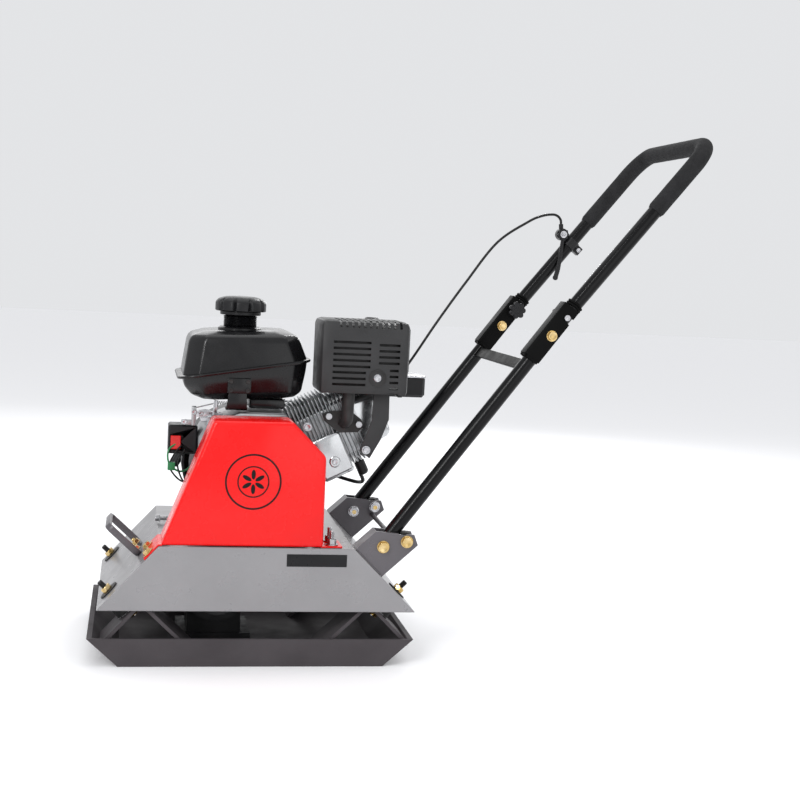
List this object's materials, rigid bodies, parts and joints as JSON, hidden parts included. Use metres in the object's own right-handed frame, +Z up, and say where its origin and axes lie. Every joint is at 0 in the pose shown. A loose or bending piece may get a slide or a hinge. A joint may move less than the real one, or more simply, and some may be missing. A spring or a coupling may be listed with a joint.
{
  "type": "plate compactor",
  "caption": "Walk-behind vibratory plate compactor with a flat sole plate, a petrol engine on a sprung deck, a belt-driven exciter and a folding tube handle.",
  "frame": {"origin": "centre of the sole plate's flat underside, on the ground", "axes": "+X to the rear, towards the handle and the operator; +Y to the machine's far side, opposite the belt guard; +Z up"},
  "size_m": [1.0745, 0.4036, 0.955],
  "materials": {
    "black_plastic": "black moulded plastic with a light satin sheen",
    "bracket_paint": "semi-gloss dark grey paint",
    "cable_black": "black cable sheath",
    "cast_aluminium": "die-cast aluminium, light silver, lightly textured",
    "cast_iron": "dark cast iron",
    "deck_paint": "semi-gloss mid-grey powder coat",
    "exhaust_steel": "heat-dulled bare steel",
    "foam": "matte closed-cell foam sleeve",
    "guard_paint": "glossy bright red paint on pressed steel",
    "handle_paint": "glossy black powder coat on steel tube",
    "muffler_paint": "satin charcoal high-temperature paint",
    "rubber": "black moulded rubber",
    "steel": "machined or bright-zinc steel",
    "switch_red": "glossy red plastic",
    "tank_black": "glossy black enamel",
    "tray_paint": "semi-gloss dark grey paint with a fine orange-peel texture",
    "yellow_zinc": "yellow-passivated zinc plating on steel"
  },
  "bodies": {
    "chassis": {"air_cleaner": "black_plastic", "base_plate": "tray_paint", "belt_guard": "guard_paint", "bracket_tie_rod": "bracket_paint", "carburetor": "cast_aluminium", "crankcase": "cast_aluminium", "crankcase_cover": "cast_aluminium", "cylinder": "cast_aluminium", "cylinder_head": "cast_aluminium", "drive_belt": "rubber", "engine_deck": "deck_paint", "exciter_bearing_left": "steel", "exciter_bearing_right": "steel", "exciter_housing": "cast_iron", "exhaust_pipe": "exhaust_steel", "fan_housing": "black_plastic", "fuel_tank": "tank_black", "handle_bracket_left": "bracket_paint", "handle_bracket_right": "bracket_paint", "lift_loop": "bracket_paint", "muffler": "exhaust_steel", "muffler_guard": "muffler_paint", "pivot_bolt_left": "yellow_zinc", "pivot_bolt_right": "yellow_zinc", "recoil_cover": "black_plastic", "rocker_cover": "cast_aluminium", "rubber_mount_front_left": "rubber", "rubber_mount_front_right": "rubber", "rubber_mount_rear_left": "rubber", "rubber_mount_rear_right": "rubber", "spark_plug_cap": "black_plastic", "stop_bolt_left": "yellow_zinc", "stop_bolt_right": "yellow_zinc", "stop_roller_left": "rubber", "stop_roller_right": "rubber", "switch_box": "black_plastic"},
    "handle_lower": {"lower_handle": "handle_paint", "fold_bolt_left": "yellow_zinc", "fold_bolt_right": "yellow_zinc", "throttle_cable": "cable_black"},
    "handle_upper": {"upper_handle": "handle_paint", "handle_grip": "foam", "throttle_clamp": "black_plastic"},
    "knob_left": {"lock_knob_left": "black_plastic"},
    "knob_right": {"lock_knob_right": "black_plastic"},
    "throttle_control": {"throttle_lever": "black_plastic"},
    "governor_arm": {"throttle_arm": "steel"},
    "crank_rotor": {"crankshaft": "steel", "flywheel": "cast_aluminium", "clutch_hub": "steel"},
    "clutch_output": {"clutch_drum": "steel"},
    "exciter_rotor": {"exciter_shaft": "steel", "exciter_pulley": "cast_iron"},
    "starter_pull": {"starter_grip": "black_plastic"},
    "tank_cap": {"fuel_cap": "black_plastic"},
    "stop_switch": {"engine_switch": "switch_red"},
    "choke_control": {"choke_lever": "black_plastic"},
    "fuel_control": {"fuel_lever": "black_plastic"},
    "oil_plug": {"oil_dipstick": "black_plastic"}
  },
  "joints": [
    {"name": "handle_tilt", "type": "hinge", "parent": "chassis", "child": "handle_lower", "pos_m": [0.2195, 0, 0.2105], "axis": [0, -1, 0], "range_deg": [0, 22], "deforming": ["throttle_cable"]},
    {"name": "handle_fold", "type": "hinge", "parent": "handle_lower", "child": "handle_upper", "pos_m": [0.5005, 0, 0.5887], "axis": [0, 1, 0], "range_deg": [0, 130], "deforming": ["throttle_cable"]},
    {"name": "lock_knob_left_turn", "type": "hinge", "parent": "handle_upper", "child": "knob_left", "pos_m": [0.52633, -0.174, 0.62118], "axis": [0, 1, 0], "continuous": true},
    {"name": "lock_knob_right_turn", "type": "hinge", "parent": "handle_upper", "child": "knob_right", "pos_m": [0.52633, 0.174, 0.62118], "axis": [0, 1, 0], "continuous": true},
    {"name": "throttle_lever_swing", "type": "hinge", "parent": "handle_upper", "child": "throttle_control", "pos_m": [0.61547, 0.166, 0.77581], "axis": [0, 1, 0], "range_deg": [0, 55]},
    {"name": "throttle_arm_swing", "type": "hinge", "parent": "chassis", "child": "governor_arm", "pos_m": [0.06, 0.078, 0.4293], "axis": [0, 0, 1], "range_deg": [0, 33]},
    {"name": "crank_spin", "type": "hinge", "parent": "chassis", "child": "crank_rotor", "pos_m": [-0.015, 0, 0.315], "axis": [0, 1, 0], "continuous": true},
    {"name": "clutch_drum_spin", "type": "hinge", "parent": "chassis", "child": "clutch_output", "pos_m": [-0.015, 0, 0.315], "axis": [0, 1, 0], "continuous": true},
    {"name": "exciter_spin", "type": "hinge", "parent": "chassis", "child": "exciter_rotor", "pos_m": [-0.06, 0, 0.112], "axis": [0, 1, 0], "continuous": true},
    {"name": "starter_pull_out", "type": "slide", "parent": "chassis", "child": "starter_pull", "axis": [-0.866, 0, 0.5], "range_m": [0, 0.1], "stiffness_N_per_m": 150, "springref_m": -0.1},
    {"name": "fuel_cap_lift", "type": "slide", "parent": "chassis", "child": "tank_cap", "axis": [0, 0, 1], "range_m": [0, 0.05]},
    {"name": "engine_switch_rock", "type": "hinge", "parent": "chassis", "child": "stop_switch", "pos_m": [-0.1385, -0.04, 0.3645], "axis": [1, 0, 0], "range_deg": [-8, 8]},
    {"name": "choke_lever_swing", "type": "hinge", "parent": "chassis", "child": "choke_control", "pos_m": [0.202, 0.1103, 0.437], "axis": [0, 1, 0], "range_deg": [0, 40]},
    {"name": "fuel_lever_swing", "type": "hinge", "parent": "chassis", "child": "fuel_control", "pos_m": [0.184, 0.1103, 0.403], "axis": [0, 1, 0], "range_deg": [0, 80]},
    {"name": "oil_dipstick_turn", "type": "hinge", "parent": "chassis", "child": "oil_plug", "pos_m": [-0.1003, -0.052, 0.247], "axis": [-1, 0, 0], "continuous": true}
  ],
  "couplings": [
    {"joint": "throttle_arm_swing", "follows": "throttle_lever_swing", "ratio": 0.6},
    {"joint": "clutch_drum_spin", "follows": "exciter_spin", "ratio": 0.75}
  ]
}
